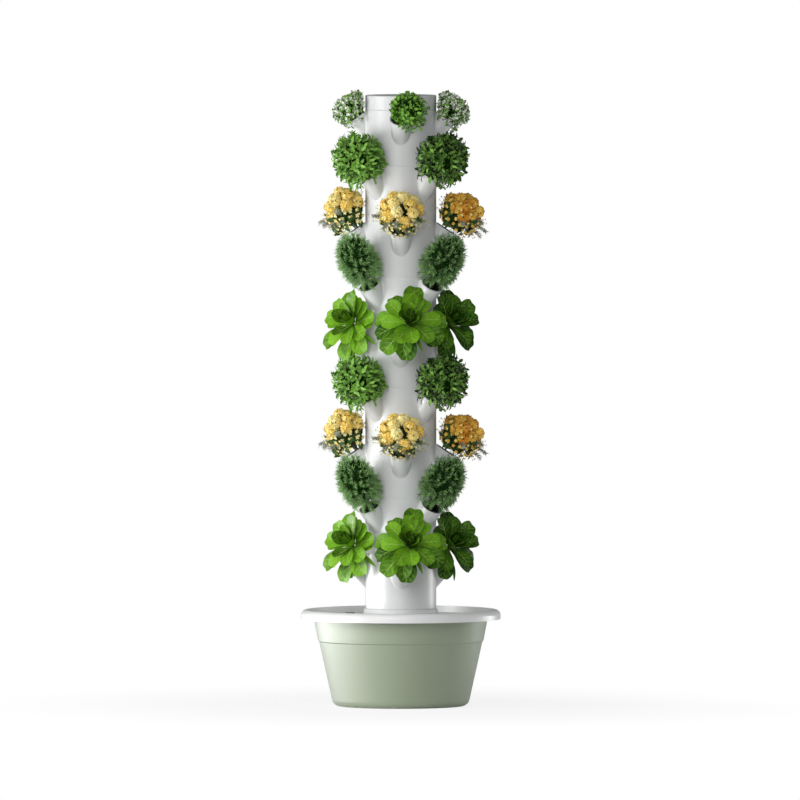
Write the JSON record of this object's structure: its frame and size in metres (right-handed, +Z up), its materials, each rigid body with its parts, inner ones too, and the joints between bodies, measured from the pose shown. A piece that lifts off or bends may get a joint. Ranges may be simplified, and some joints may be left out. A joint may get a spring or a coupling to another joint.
{
  "type": "hydroponic tower",
  "caption": "Free-standing hydroponic growing tower: stacked white tiers with tapered planting ports and plants, on the lid of a round green water tub with a pump inside.",
  "frame": {"origin": "middle of the tub's underside, on the floor", "axes": "+Z up along the column, -Y towards the front of the pictured view, +X to its right"},
  "size_m": [0.4499, 0.45, 1.389],
  "materials": {
    "tub_green": "gloss",
    "lid_white": "satin",
    "tower_white": "satin",
    "inner_white": "matte",
    "pump_black": "matte",
    "dial_grey": "matte",
    "shaft_ceramic": "polished",
    "rubber_black": "matte",
    "cup_black": "satin",
    "sponge": "foam",
    "lettuce_leaf": "leaf",
    "flower_bloom": "petal",
    "herb_leaf": "leaf",
    "shrub_leaf": "leaf"
  },
  "bodies": {
    "tower": {"reservoir_tub": "tub_green", "reservoir_lid": "lid_white", "cable_grommet": "rubber_black", "tower_foot": "tower_white", "tower_tier_1": "tower_white", "tower_tier_2": "tower_white", "tower_tier_3": "tower_white", "tower_tier_4": "tower_white", "tower_tier_5": "tower_white", "tower_tier_6": "tower_white", "tower_tier_7": "tower_white", "tower_tier_8": "tower_white", "tower_tier_9": "tower_white", "water_spreader": "inner_white", "riser_lower": "inner_white", "riser_coupler": "inner_white", "riser_upper": "inner_white", "outlet_adapter": "inner_white", "pump_housing": "pump_black", "pump_cover": "pump_black", "pump_shaft": "shaft_ceramic", "pump_feet": "rubber_black"},
    "top_cap": {"top_cap": "tower_white"},
    "filler_plug": {"filler_plug": "lid_white"},
    "impeller": {"pump_impeller": "dial_grey"},
    "flow_dial": {"flow_dial": "dial_grey"},
    "cups_front": {"net_cups_front": "cup_black", "grow_sponges_front": "sponge", "lettuces_front": "lettuce_leaf", "flowers_front": "flower_bloom", "herbs_front": "herb_leaf"},
    "cups_right": {"net_cups_right": "cup_black", "grow_sponges_right": "sponge", "lettuces_right": "lettuce_leaf", "flowers_right": "flower_bloom", "herbs_right": "herb_leaf"},
    "cups_back": {"net_cups_back": "cup_black", "grow_sponges_back": "sponge", "lettuces_back": "lettuce_leaf", "flowers_back": "flower_bloom", "herbs_back": "herb_leaf"},
    "cups_left": {"net_cups_left": "cup_black", "grow_sponges_left": "sponge", "lettuces_left": "lettuce_leaf", "flowers_left": "flower_bloom", "herbs_left": "herb_leaf"},
    "cups_front_right": {"net_cups_front_right": "cup_black", "grow_sponges_front_right": "sponge", "shrubs_front_right": "shrub_leaf"},
    "cups_back_right": {"net_cups_back_right": "cup_black", "grow_sponges_back_right": "sponge", "shrubs_back_right": "shrub_leaf"},
    "cups_back_left": {"net_cups_back_left": "cup_black", "grow_sponges_back_left": "sponge", "shrubs_back_left": "shrub_leaf"},
    "cups_front_left": {"net_cups_front_left": "cup_black", "grow_sponges_front_left": "sponge", "shrubs_front_left": "shrub_leaf"}
  },
  "joints": [
    {"name": "cap_lift", "type": "slide", "parent": "tower", "child": "top_cap", "axis": [0, 0, 1], "range_m": [0, 0.06]},
    {"name": "plug_lift", "type": "slide", "parent": "tower", "child": "filler_plug", "axis": [0, 0, 1], "range_m": [0, 0.05]},
    {"name": "impeller_spin", "type": "hinge", "parent": "tower", "child": "impeller", "pos_m": [0, -0.014, 0.035], "axis": [0, 1, 0], "continuous": true},
    {"name": "dial_turn", "type": "hinge", "parent": "tower", "child": "flow_dial", "pos_m": [0, -0.014, 0.035], "axis": [0, 1, 0], "range_deg": [0, 90]},
    {"name": "cups_front_pull", "type": "slide", "parent": "tower", "child": "cups_front", "axis": [0, -0.5736, 0.8192], "range_m": [0, 0.058]},
    {"name": "cups_right_pull", "type": "slide", "parent": "tower", "child": "cups_right", "axis": [0.5736, 0, 0.8192], "range_m": [0, 0.058]},
    {"name": "cups_back_pull", "type": "slide", "parent": "tower", "child": "cups_back", "axis": [0, 0.5736, 0.8192], "range_m": [0, 0.058]},
    {"name": "cups_left_pull", "type": "slide", "parent": "tower", "child": "cups_left", "axis": [-0.5736, 0, 0.8192], "range_m": [0, 0.058]},
    {"name": "cups_front_right_pull", "type": "slide", "parent": "tower", "child": "cups_front_right", "axis": [0.4056, -0.4056, 0.8192], "range_m": [0, 0.058]},
    {"name": "cups_back_right_pull", "type": "slide", "parent": "tower", "child": "cups_back_right", "axis": [0.4056, 0.4056, 0.8192], "range_m": [0, 0.058]},
    {"name": "cups_back_left_pull", "type": "slide", "parent": "tower", "child": "cups_back_left", "axis": [-0.4056, 0.4056, 0.8192], "range_m": [0, 0.058]},
    {"name": "cups_front_left_pull", "type": "slide", "parent": "tower", "child": "cups_front_left", "axis": [-0.4056, -0.4056, 0.8192], "range_m": [0, 0.058]}
  ]
}
